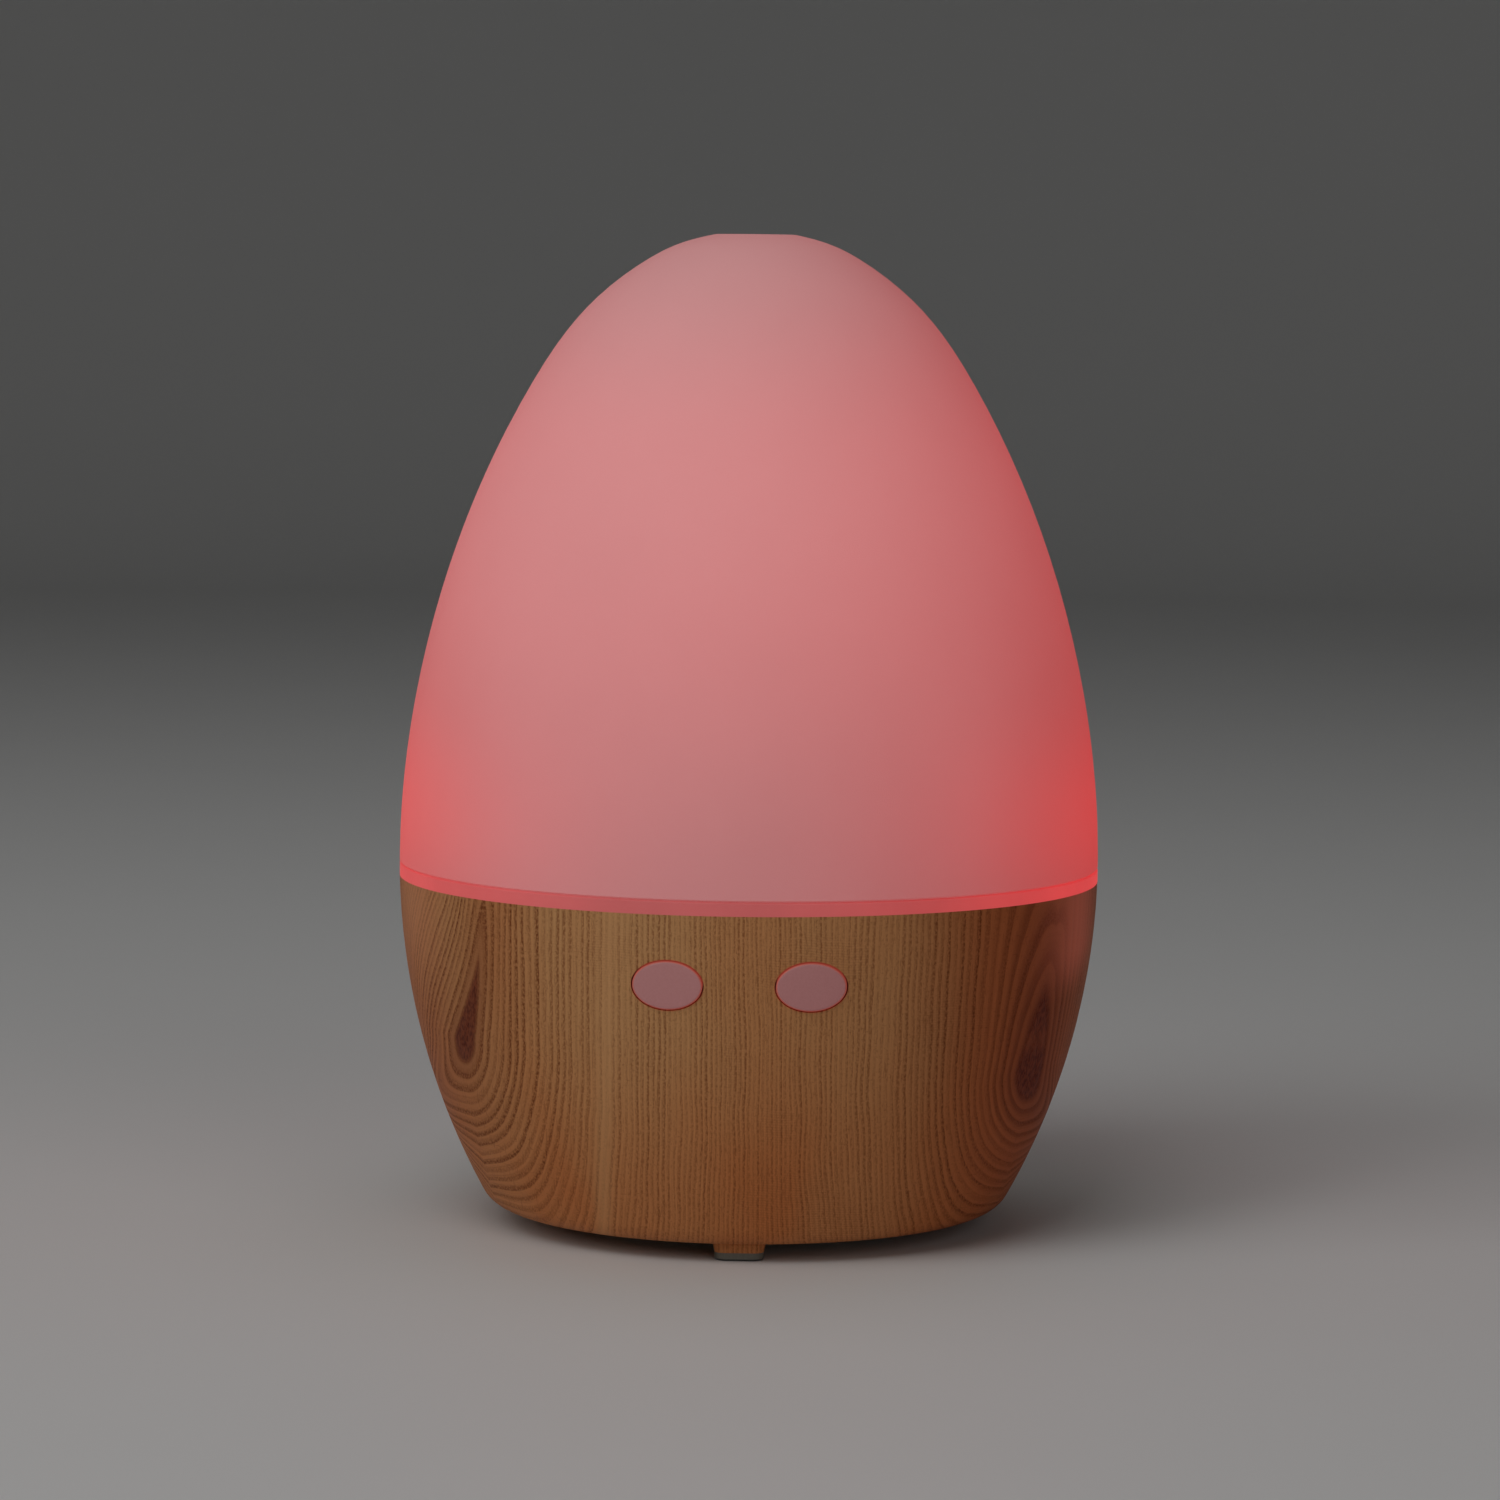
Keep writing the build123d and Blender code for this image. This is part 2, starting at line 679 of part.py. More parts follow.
def make_inductor_core():
    """Drum core under the board, with a lip at each end."""
    bottom_z = board_z[0] - inductor_height
    drum = rod(*inductor_place, inductor_radius, bottom_z, board_z[0])
    return drum - Pos(*inductor_place) * tube(inductor_core_radius, inductor_radius + 1, *winding_z())


def winding_z():
    return board_z[0] - inductor_height + inductor_lip, board_z[0] - inductor_lip


def make_inductor_winding():
    return Pos(*inductor_place) * tube(inductor_core_radius, winding_radius, *winding_z())


def make_capacitor():
    can = rod(*capacitor_place, capacitor_radius, board_z[0] - capacitor_height, board_z[0])
    return fillet(can.edges().sort_by(Axis.Z)[0], capacitor_edge_radius)


def make_drive_transistor():
    body = block(transistor_x, transistor_y, transistor_z)
    middle_x = sum(transistor_x) / 2
    half = transistor_leg_width / 2
    for n in (-1, 0, 1):
        x = middle_x + n * transistor_leg_pitch
        body += block((x - half, x + half), transistor_leg_y, (transistor_z[1] - overlap, board_z[0]))
    return body


def make_heat_sink():
    """Plate behind the drive transistor, with upright fins."""
    tall = (heat_sink_bottom_z, board_z[0])
    sink = block(heat_sink_x, heat_sink_plate_y, tall)
    pitch = (heat_sink_x[1] - heat_sink_x[0] - heat_sink_fin_thickness) / (heat_sink_fins - 1)
    for n in range(heat_sink_fins):
        x = heat_sink_x[0] + n * pitch
        fin_y = (heat_sink_front_y, heat_sink_plate_y[0] + overlap)
        sink += block((x, x + heat_sink_fin_thickness), fin_y, tall)
    return sink


def make_control_chip():
    chip = block(chip_x, chip_y, (board_z[0] - chip_thickness, board_z[0]))
    first_x = sum(chip_x) / 2 - (chip_leads - 1) / 2 * chip_lead_pitch
    lead_y = (chip_y[0] - chip_lead_reach, chip_y[1] + chip_lead_reach)
    for n in range(chip_leads):
        x = first_x + n * chip_lead_pitch
        lead_x = (x - chip_lead_width / 2, x + chip_lead_width / 2)
        chip += block(lead_x, lead_y, (board_z[0] - chip_lead_thickness, board_z[0]))
    return chip


def make_chip_resistors():
    half_x = resistor_size[0] / 2
    half_y = resistor_size[1] / 2
    chips = []
    for n in range(resistor_count):
        x, y = polar(resistor_ring_radius, resistor_first_angle + n * resistor_step_angle)
        tall = (board_z[0] - resistor_size[2], board_z[0])
        chips.append(block((x - half_x, x + half_x), (y - half_y, y + half_y), tall))
    return Compound(chips)


# ---- Wire sockets and wires --------------------------------------------------------------------------------
def make_fan_socket():
    return block(fan_socket_x, fan_socket_y, (fan_socket_bottom_z, board_z[0]))


def make_transducer_socket():
    top_z = board_z[1] + transducer_socket_height
    return block(transducer_socket_x, transducer_socket_y, (board_z[1], top_z))


def make_ribbon_socket():
    half = ribbon_width / 2 + ribbon_socket_margin
    tall = (board_z[1], ribbon_z + ribbon_socket_height)
    return block((ribbon_x - half, ribbon_x + half), ribbon_socket_y, tall)


def make_fan_wire(side):
    """Wire from the fan's side, round and up into the socket under the board."""
    x = fan_wire_end[0] + side
    y = fan_wire_y + side
    points = [
        (fan_size / 2, y, fan_wire_z),
        (x, y, fan_wire_z),
        (x, fan_wire_end[1], fan_wire_z),
        (x, fan_wire_end[1], fan_socket_bottom_z),
    ]
    return wire_tube(points, [2.8, 2.6], fan_wire_diameter)


def make_transducer_wire(side):
    """Wire from the disc's underside, through the retainer and across the board to its socket."""
    points = [
        (transducer_wire_x, side, piezo_z[0]),
        (transducer_wire_x, side, transducer_wire_z),
        (transducer_wire_bend_x, transducer_wire_end_y + side, transducer_wire_z),
        (transducer_socket_x[1], transducer_wire_end_y + side, transducer_wire_z),
    ]
    return wire_tube(points, [2.6, 6.0], transducer_wire_diameter)


def make_button_ribbon():
    """Flat cable from the back of the button board down to the main board."""
    board_back = button_board_y[1]
    route = FilletPolyline(
        (ribbon_x, board_back, ribbon_start_z),
        (ribbon_x, board_back + ribbon_reach, ribbon_start_z),
        (ribbon_x, board_back + ribbon_reach, ribbon_z),
        (ribbon_x, ribbon_socket_y[0], ribbon_z),
        radius=ribbon_bend_radius,
    )
    start = Plane(origin=route @ 0, x_dir=(1, 0, 0), z_dir=(0, 1, 0))
    return sweep(start * Rectangle(ribbon_width, ribbon_thickness), path=route)


# ---- Buttons -----------------------------------------------------------------------------------------------
def make_button(x):
    """Oval cap that follows the shell's curve, with a flange behind the wall that keeps it in."""
    cap = oval_prism(x, button_half, -far, button_flange_y[0])
    cap = cap & bowl(-button_proud, foot_height, shell_rim_z)
    flange = oval_prism(x, button_flange_half, *button_flange_y)
    return cap + flange


def make_switch(x):
    tall = (button_z - switch_half, button_z + switch_half)
    housing = block((x - switch_half, x + switch_half), switch_y, tall)
    well_end_y = plunger_back_y + button_travel + hole_clearance
    return housing - rod_y(x, button_z, plunger_radius + hole_clearance, switch_y[0], well_end_y)


def make_plunger(x):
    return rod_y(x, button_z, plunger_radius, button_flange_y[1], plunger_back_y)


def make_button_board():
    width = (-button_board_half_width, button_board_half_width)
    board = block(width, button_board_y, button_board_z)
    for z in button_boss_z:
        board -= rod_y(0, z, button_screw_radius + hole_clearance, -far, far)
    return board


def make_button_board_screws():
    screws = []
    for z in button_boss_z:
        head_y = (button_board_y[1], button_board_y[1] + button_screw_head_depth)
        shank = rod_y(0, z, button_screw_radius, button_screw_front_y, head_y[0])
        screws.append(shank + rod_y(0, z, button_screw_head_radius, *head_y))
    return Compound(screws)


# ---- Power socket ------------------------------------------------------------------------------------------
def make_jack_housing():
    housing = block((-jack_half_width, jack_half_width), jack_body_y, jack_body_z)
    housing += rod_y(0, jack_z, jack_nose_radius, jack_body_y[1] - overlap, jack_nose_end_y)
    housing -= rod_y(0, jack_z, jack_bore_radius, jack_bore_end_y, far)
    housing -= rod_y(0, jack_z, jack_pin_root_radius, 0, far)
    return housing


def make_jack_pin():
    root = rod_y(0, jack_z, jack_pin_root_radius, jack_body_y[0] + jack_pin_recess, jack_bore_end_y)
    return root + rod_y(0, jack_z, jack_pin_radius, jack_bore_end_y, jack_pin_end_y)


# ---- All nodes ---------------------------------------------------------------------------------------------
def make_nodes():
    nodes = {
        "base_shell": make_base_shell(),
        "body_screws": make_body_screws(),
        "bottom_cover": make_bottom_cover(),
        "bottom_cover_screws": make_bottom_cover_screws(),
        "water_tank": make_water_tank(),
        "air_pipe": make_air_pipe(),
        "tank_gasket": make_tank_gasket(),
        "piezo_disc": rod(0, 0, piezo_radius, *piezo_z),
        "transducer_seal": make_transducer_seal(),
        "transducer_retainer": make_transducer_retainer(),
        "retainer_screws": make_retainer_screws(),
        "inner_cover": make_inner_cover(),
        "outer_cover": make_outer_cover(),
        "fan_frame": make_fan_frame(),
        "fan_bearing": make_fan_bearing(),
        "fan_stator": make_fan_stator(),
        "fan_rotor": make_fan_rotor(),
        "fan_magnet": tube(*fan_magnet_r, *fan_magnet_z),
        "fan_shaft": rod(0, 0, fan_shaft_radius, *fan_shaft_z),
        "fan_screws": make_fan_screws(),
        "main_board": make_main_board(),
        "inductor_core": make_inductor_core(),
        "inductor_winding": make_inductor_winding(),
        "smoothing_capacitor": make_capacitor(),
        "drive_transistor": make_drive_transistor(),
        "heat_sink": make_heat_sink(),
        "control_chip": make_control_chip(),
        "chip_resistors": make_chip_resistors(),
        "fan_wire_socket": make_fan_socket(),
        "transducer_wire_socket": make_transducer_socket(),
        "ribbon_socket": make_ribbon_socket(),
        "fan_wire_red": make_fan_wire(fan_wire_spacing / 2),
        "fan_wire_black": make_fan_wire(-fan_wire_spacing / 2),
        "transducer_wire_red": make_transducer_wire(transducer_wire_spacing / 2),
        "transducer_wire_black": make_transducer_wire(-transducer_wire_spacing / 2),
        "button_ribbon": make_button_ribbon(),
        "button_board": make_button_board(),
        "button_board_screws": make_button_board_screws(),
        "power_socket_housing": make_jack_housing(),
        "power_socket_pin": make_jack_pin(),
    }
    for place, angle in zip(("front", "right", "left"), foot_angles):
        nodes[f"foot_pad_{place}"] = make_foot_pad(angle)
    for n in range(led_count):
        nodes[f"led_{n + 1}"] = make_led(n * 360 / led_count)
    for name, x in (("mist", -button_x), ("light", button_x)):
        nodes[f"{name}_button"] = make_button(x)
        nodes[f"{name}_switch_housing"] = make_switch(x)
        nodes[f"{name}_switch_plunger"] = make_plunger(x)
    return nodes


os.makedirs("parts", exist_ok=True)
for node_name, shape in make_nodes().items():
    export_step(shape, f"parts/{node_name}.step")
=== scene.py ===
import json
from math import cos, pi, radians, sin, sqrt

import bmesh
import bpy
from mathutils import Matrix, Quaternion, Vector


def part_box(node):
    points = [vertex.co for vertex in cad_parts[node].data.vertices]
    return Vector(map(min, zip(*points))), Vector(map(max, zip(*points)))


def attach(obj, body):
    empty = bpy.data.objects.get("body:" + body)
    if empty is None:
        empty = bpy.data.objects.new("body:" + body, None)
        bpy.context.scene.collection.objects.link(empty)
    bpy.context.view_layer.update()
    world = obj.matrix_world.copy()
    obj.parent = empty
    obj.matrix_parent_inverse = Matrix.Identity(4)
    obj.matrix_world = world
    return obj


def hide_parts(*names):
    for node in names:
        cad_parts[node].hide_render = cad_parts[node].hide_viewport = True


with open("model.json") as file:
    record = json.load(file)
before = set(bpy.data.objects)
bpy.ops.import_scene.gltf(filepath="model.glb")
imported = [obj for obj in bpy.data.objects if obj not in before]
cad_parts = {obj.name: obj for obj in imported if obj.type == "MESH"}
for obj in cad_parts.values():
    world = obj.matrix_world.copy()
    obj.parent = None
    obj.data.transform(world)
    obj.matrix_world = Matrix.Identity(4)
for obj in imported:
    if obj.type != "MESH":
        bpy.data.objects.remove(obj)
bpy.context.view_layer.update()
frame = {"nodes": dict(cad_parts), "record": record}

NODES = frame["nodes"]
MM = 0.001

# ---- Camera and stage, in metres ----------------------------------------------------------------------
CAMERA_DISTANCE = 0.772
CAMERA_HEIGHT = 0.1403
CAMERA_AZIMUTH = radians(1.3)
CAMERA_ROLL = radians(0.63)
CAMERA_TARGET = Vector((0.0, 0.0, 0.0712))
CAMERA_LENS = 123.6

FLOOR_FLAT_RADIUS = 1.6
FLOOR_RIM_RADIUS = 2.6
FLOOR_RIM_HEIGHT = 1.6
FLOOR_FLAT_STEPS = 8
FLOOR_CURVE_STEPS = 24
FLOOR_SIDES = 128

# Each softbox: place, width and power.
SOFTBOXES = {
    "key_softbox": ((-0.85, -0.75, 0.75), 0.8, 3.0),
    "front_softbox": ((-0.3, -0.7, 1.1), 0.7, 2.7),
    "fill_softbox": ((0.6, -1.05, 0.5), 0.7, 1.15),
    "top_softbox": ((0.0, 0.1, 1.2), 0.9, 1.2),
}
WORLD_LIGHT = 0.01

# ---- Base shell, in millimetres -----------------------------------------------------------------------
# Its side is an arc, turned about the axis.
SIDE_ARC_RADIUS = 104.3
SIDE_ARC_CENTRE_Z = 55.0
SIDE_ARC_CENTRE_R = -51.765
# The printed film shows on faces down to this depth under the side, and on all faces below this height.
FILM_DEPTH = 1.2
FILM_BOTTOM_Z = 3.4

# Growth lines of the film: how close they are at the front, and how fast they get wider towards the knots.
LINES_PER_MM = 1.45
LINE_WIDENING = 0.0117
# Knots of the film: place round the shell, height, which way the front of the shell is, and how the grain
# beside them leans above, closes above and bends below.
LEFT_KNOT = {"across": -47.6, "height": 31.0, "front": 1.0, "lean": 0.72, "taper": 0.24, "below": 0.8}
RIGHT_KNOT = {"across": 51.0, "height": 27.0, "front": -1.0, "lean": -0.2, "taper": 0.34, "below": 0.85}
# Pale streak from top to bottom, left of the left button: place at a height, and its lean.
STREAK_ACROSS = -18.6
STREAK_HEIGHT = 50.0
STREAK_LEAN = 0.045

# ---- Buttons, in millimetres --------------------------------------------------------------------------
BUTTON_X = 10.2
BUTTON_Z = 42.2
BUTTON_HALF_WIDTH = 5.0
BUTTON_HALF_HEIGHT = 3.5
BUTTON_PROUD = 0.4
BUTTON_ROUND = 0.35
BUTTON_FLANGE_DEPTH = 1.0
FLANGE_ROUND = 0.12
BUTTON_SIDES = 96
FACE_RINGS = 8
ROUND_RINGS = 6
# The lit rim fades out, behind the face, between these two distances in front of the axis.
LIT_RIM_BACK = 47.6
LIT_RIM_FRONT = 48.4

# ---- Parts inside, in millimetres ---------------------------------------------------------------------
WINDING_TURNS = 9
WINDING_SIDES = 96
WIRE_STEPS = 8
TRACK_PATCH = 5.5
TRACK_PITCH = 1.1
HOLE_PITCH = 2.54
HOLE_RADIUS = 0.28
PAD_RADIUS = 0.59
LAMP_WINDOW_DEPTH = 0.4


# ---- Shader arithmetic --------------------------------------------------------------------------------
class Value:
    """A number, vector or colour in a node tree. A number adds, multiplies and so on with others."""

    def __init__(self, tree, socket):
        self.tree = tree
        self.socket = socket

    def math(self, operation, *others):
        node = self.tree.nodes.new("ShaderNodeMath")
        node.operation = operation
        for place, operand in enumerate((self, *others)):
            feed(self.tree, operand, node.inputs[place])
        return Value(self.tree, node.outputs[0])

    def __add__(self, other):
        return self.math("ADD", other)

    def __sub__(self, other):
        return self.math("SUBTRACT", other)

    def __mul__(self, other):
        return self.math("MULTIPLY", other)

    def __truediv__(self, other):
        return self.math("DIVIDE", other)

    def __neg__(self):
        return self * -1.0

    def squared(self):
        return self * self

    def root(self):
        return self.math("SQRT")

    def size(self):
        return self.math("ABSOLUTE")

    def sign(self):
        return self.math("SIGN")

    def at_least(self, low):
        return self.math("MAXIMUM", low)

    def at_most(self, high):
        return self.math("MINIMUM", high)

    def whole(self):
        return self.math("FLOOR")

    def fraction(self):
        return self.math("FRACT")

    def falling(self, width):
        """1 at zero, falling off exponentially over that width."""
        return (-(self / width)).math("EXPONENT")

    def bell(self, centre, width):
        """1 at the centre, fading over that width on each side."""
        return (-((self - centre) / width).squared()).math("EXPONENT")

    def step(self, low, high):
        """Smooth rise from 0 at low to 1 at high, or a fall if low is the greater."""
        node = self.tree.nodes.new("ShaderNodeMapRange")
        node.interpolation_type = "SMOOTHSTEP"
        feed(self.tree, self, node.inputs["Value"])
        node.inputs["From Min"].default_value = min(low, high)
        node.inputs["From Max"].default_value = max(low, high)
        node.inputs["To Min"].default_value = 0.0 if low < high else 1.0
        node.inputs["To Max"].default_value = 1.0 if low < high else 0.0
        return Value(self.tree, node.outputs["Result"])


def feed(tree, source, socket):
    """Links a value to a socket, or sets the socket to a plain number or colour."""
    if isinstance(source, Value):
        tree.links.new(source.socket, socket)
    elif isinstance(source, (tuple, list)):
        socket.default_value = (*source, 1.0)[: len(socket.default_value)]
    else:
        socket.default_value = source


class Surface:
    """One procedural material on the Principled shader, with its coordinates in millimetres."""

    def __init__(self, name, roughness=0.5, **fixed):
        self.material = bpy.data.materials.new(name)
        self.material.use_nodes = True
        self.material.diffuse_color = (0.6, 0.6, 0.6, 1.0)
        self.tree = self.material.node_tree
        self.shader = self.tree.nodes["Principled BSDF"]
        self.shader.inputs["Roughness"].default_value = roughness
        for socket, number in fixed.items():
            self.shader.inputs[socket.replace("_", " ")].default_value = number
        coordinates = self.tree.nodes.new("ShaderNodeTexCoord")
        scale = self.tree.nodes.new("ShaderNodeVectorMath")
        scale.operation = "SCALE"
        scale.inputs["Scale"].default_value = 1.0 / MM
        self.tree.links.new(coordinates.outputs["Object"], scale.inputs[0])
        self.position = Value(self.tree, scale.outputs[0])
        parts = self.tree.nodes.new("ShaderNodeSeparateXYZ")
        self.tree.links.new(self.position.socket, parts.inputs[0])
        self.x, self.y, self.z = [Value(self.tree, out) for out in parts.outputs]

    def radius(self):
        """Distance from the axis."""
        return (self.x.squared() + self.y.squared()).root()

    def sideways(self):
        """0 at the front and the back, 1 at the left and the right."""
        return self.x.squared() / (self.x.squared() + self.y.squared() + 1.0)

    def point(self, x, y, z):
        """A vector made of three values."""
        node = self.tree.nodes.new("ShaderNodeCombineXYZ")
        for place, value in enumerate((x, y, z)):
            feed(self.tree, value, node.inputs[place])
        return Value(self.tree, node.outputs[0])

    def noise(self, scale, detail=3.0, roughness=0.5, where=None):
        """Noise from 0 to 1, with about that many features a millimetre."""
        node = self.tree.nodes.new("ShaderNodeTexNoise")
        feed(self.tree, where or self.position, node.inputs["Vector"])
        node.inputs["Scale"].default_value = scale
        node.inputs["Detail"].default_value = detail
        node.inputs["Roughness"].default_value = roughness
        return Value(self.tree, node.outputs["Fac"])

    def chance(self, *numbers):
        """Random number from 0 to 1, the same wherever the three numbers are the same."""
        node = self.tree.nodes.new("ShaderNodeTexWhiteNoise")
        feed(self.tree, self.point(*numbers), node.inputs["Vector"])
        return Value(self.tree, node.outputs["Value"])

    def mix(self, factor, first, second):
        """Colour from the first to the second as factor goes from 0 to 1."""
        node = self.tree.nodes.new("ShaderNodeMix")
        node.data_type = "RGBA"
        feed(self.tree, factor, node.inputs["Factor"])
        colours = {"A": first, "B": second}
        for socket in node.inputs:
            if socket.type == "RGBA":
                feed(self.tree, colours[socket.name], socket)
        mixed = [out for out in node.outputs if out.type == "RGBA"][0]
        return Value(self.tree, mixed)

    def tinted(self, factor, colour, tint):
        """Colour multiplied by a tint, as factor goes from 0 to 1."""
        mixed = self.mix(factor, colour, tint)
        mixed.socket.node.blend_type = "MULTIPLY"
        return mixed

    def scaled(self, colour, factor):
        """Colour times a value."""
        node = self.tree.nodes.new("ShaderNodeVectorMath")
        node.operation = "SCALE"
        feed(self.tree, colour, node.inputs[0])
        feed(self.tree, factor, node.inputs["Scale"])
        return Value(self.tree, node.outputs[0])

    def bump(self, height, depth_mm):
        """Relief of that depth from a height of 0 to 1."""
        node = self.tree.nodes.new("ShaderNodeBump")
        node.inputs["Distance"].default_value = depth_mm * MM
        feed(self.tree, height, node.inputs["Height"])
        self.tree.links.new(node.outputs["Normal"], self.shader.inputs["Normal"])

    def set(self, socket, value):
        feed(self.tree, value, self.shader.inputs[socket])

    def glow(self, colour):
        """Light given off, in the given colour and strength."""
        self.set("Emission Color", colour)
        self.shader.inputs["Emission Strength"].default_value = 1.0


# ---- Printed wood film --------------------------------------------------------------------------------
def knot_distance(across, z, knot):
    """Distance across the grain from a knot.

    Lines of equal distance run upright beside the knot, then sweep outwards and bend into a U under it.
    """
    side = (across - knot["across"]) * knot["front"]
    above = (z - knot["height"]).at_least(0.0)
    below = (-(z - knot["height"])).at_least(0.0)
    upper_lean = side.step(16.0, -6.0) * side.size().falling(60.0) * knot["lean"]
    lower_lean = side.step(34.0, -8.0) * 0.45 + (-side).at_least(0.0).at_most(22.0) * 0.11
    sweep = below.squared() / (below + 8.0) * lower_lean
    off_axis = side + (sweep - above * upper_lean) * side.step(-70.0, -28.0)
    bend = below * (side.step(28.0, -2.0) * 0.6 + 0.4) * knot["below"]
    closing = above * off_axis.size().falling(6.0) * knot["taper"]
    return (off_axis.squared() + bend.squared()).root() + closing


def growth_lines(across, left, right):
    """Number of the growth line, counted from the middle of the front, where the lines are closest."""
    apart = RIGHT_KNOT["across"] - LEFT_KNOT["across"]
    from_left = left - apart / 2
    from_right = -right + apart / 2
    blend = across.step(-14.0, 18.0)
    place = from_left + (from_right - from_left) * blend
    widening = (place.size() - 5.0).at_least(0.0).at_most(44.0).squared() * LINE_WIDENING
    return place * LINES_PER_MM - place.sign() * widening


def film_marks(s, base, lines, fibres, dark, around, wander):
    """Grain over the base tone: dark growth lines, fine fibres, dots, faint ripples and one pale streak."""
    deep = (0.19, 0.048, 0.012)
    pores = s.noise(4.2, detail=1.0, where=s.point(around, s.z * 0.14, 3.0))
    specks = s.noise(2.0, detail=1.0, where=s.point(lines * 1.2, s.z * 1.3, 7.0))
    grain = s.mix(dark * 0.9, base, deep)
    fine = s.mix((fibres - 0.4) * 0.6, grain, deep)
    dotted = s.mix(pores.step(0.6, 0.74) * 0.3 + specks.step(0.6, 0.75) * 0.3, fine, deep)
    ripple = (s.z * 2.6 + wander * 4.0 + around * 0.15).fraction().step(0.3, 0.9)
    ripple_zone = s.noise(0.07, detail=1.0).step(0.55, 0.7)
    rippled = s.mix(ripple * ripple_zone * 0.14, dotted, deep)
    streak = (around - STREAK_ACROSS - (s.z - STREAK_HEIGHT) * STREAK_LEAN).bell(0.0, 1.5)
    return s.mix(streak * 0.5, rippled, (0.68, 0.35, 0.15))


def film_knots(s, colour, left, right, around):
    """The two dark knots and their halos, over the grain. The right one is paler at its waist."""
    waist = s.z.bell(31.5, 1.6) * -0.55 + 1.0
    core = left.step(3.4, 2.2).at_least(right.step(5.0, 3.2) * waist)
    streaks = s.noise(1.6, detail=3.0, where=s.point(around * 1.6, s.z * 0.7 - around * 0.6, 0.0))
    core_colour = s.mix(streaks.step(0.38, 0.62) * 0.8, (0.1, 0.016, 0.008), (0.26, 0.06, 0.024))
    halo = left.step(6.5, 2.5).at_least(right.step(11.0, 4.0)) * 0.4
    return s.mix(core * 0.9, s.mix(halo, colour, (0.22, 0.05, 0.018)), core_colour)


def film_flanks(s, colour, around, slow):
    """Redder sides, with a painted pink glow of the lit ring high on the right and a painted warm highlight
    high on the left.
    """
    flanks = s.x.step(24.0, 46.0) * 0.6 + (-s.x).step(40.0, 50.0) * 0.5
    flanked = s.tinted(flanks, colour, (1.0, 0.56, 0.46))
    # Painted reflection: pink patch of the lit ring's red light, high on the right.
    painted_ring_glow = around.bell(64.0, 9.0) * (s.z + (slow - 0.5) * 8.0).step(35.5, 44.0)
    # Painted highlight: lighter, warmer patch high on the left.
    sheen = around.bell(-64.0, 10.0) * s.z.step(34.0, 50.0)
    return s.mix(painted_ring_glow * 0.85, s.mix(sheen * 0.4, flanked, (0.9, 0.4, 0.2)), (0.95, 0.22, 0.13))


def on_film(s, radius):
    """1 on the shell's outer side and bottom, which the film covers, and 0 on the bare plastic inside."""
    outer = (s.z - SIDE_ARC_CENTRE_Z).squared() * -1.0 + SIDE_ARC_RADIUS**2
    skin_radius = outer.root() + SIDE_ARC_CENTRE_R
    on_side = (radius - skin_radius + FILM_DEPTH).step(-0.05, 0.05)
    on_bottom = s.z.step(FILM_BOTTOM_Z + 0.1, FILM_BOTTOM_Z)
    return on_side.at_least(on_bottom)


def wood_film():
    """Printed pine: growth lines that run up the side and bend round a knot on the left and on the right."""
    s = Surface("wood_grain_film", roughness=0.5, Specular_IOR_Level=0.08)
    radius = s.radius()
    around = radius * s.x.math("ARCTAN2", -s.y)
    upright = s.point(s.x, s.y, s.z * 0.25)
    slow = s.noise(0.03, detail=2.0)
    wander = s.noise(0.11, detail=2.0, where=upright)
    tremble = s.noise(0.6, detail=2.0, where=s.point(s.x, s.y, s.z * 0.6))
    across = around + (slow - 0.5) * 2.4 + (wander - 0.5) * 1.1 + (tremble - 0.5) * 0.22
    left = knot_distance(across, s.z, LEFT_KNOT)
    right = knot_distance(across, s.z, RIGHT_KNOT)
    near = left.at_most(right)
    lines = growth_lines(across, left, right)

    fibres = s.noise(2.2, detail=4.0, roughness=0.65, where=s.point(lines * 1.6, s.z * 0.05, 0.0))
    dashes = s.noise(2.6, detail=2.0, where=s.point(around * 1.4, s.z * 0.8, 0.0))
    phase = (lines + (fibres - 0.5) * 0.4).fraction()
    late_wood = phase.step(0.1, 0.8) * phase.step(1.0, 0.84)
    per_line = s.noise(0.8, detail=1.0, where=s.point(lines, s.z * 0.01, 0.0)).step(0.32, 0.68)
    dark = late_wood * (per_line * 0.6 + 0.35) * (dashes.step(0.34, 0.62) * 0.75 + 0.25)
    dark = dark * (near.step(34.0, 12.0) * 0.3 + 0.85)
    strong = late_wood * right.step(17.0, 7.0) * 0.75

    warm = s.noise(0.045, detail=2.0, where=upright).step(0.36, 0.64)
    low = s.z.step(40.0, 8.0)
    tone = s.mix((warm * 0.35 + low * 0.6).at_most(0.95), (0.63, 0.325, 0.135), (0.61, 0.2, 0.062))
    base = s.mix(left.step(20.0, 4.0) * 0.35 + right.step(34.0, 10.0) * 0.85, tone, (0.46, 0.13, 0.04))
    grain = film_marks(s, base, lines, fibres, dark.at_least(strong), around, wander)
    film = film_flanks(s, film_knots(s, grain, left, right, around), around, slow)

    plastic = s.mix(s.noise(0.6), (0.62, 0.56, 0.49), (0.66, 0.6, 0.53))
    s.set("Base Color", s.mix(on_film(s, radius), plastic, film))
    s.set("Roughness", dark * 0.12 + 0.48 + (fibres - 0.5) * 0.1)
    s.bump(fibres * 0.4 - dark * 0.6, 0.05)
    return s.material


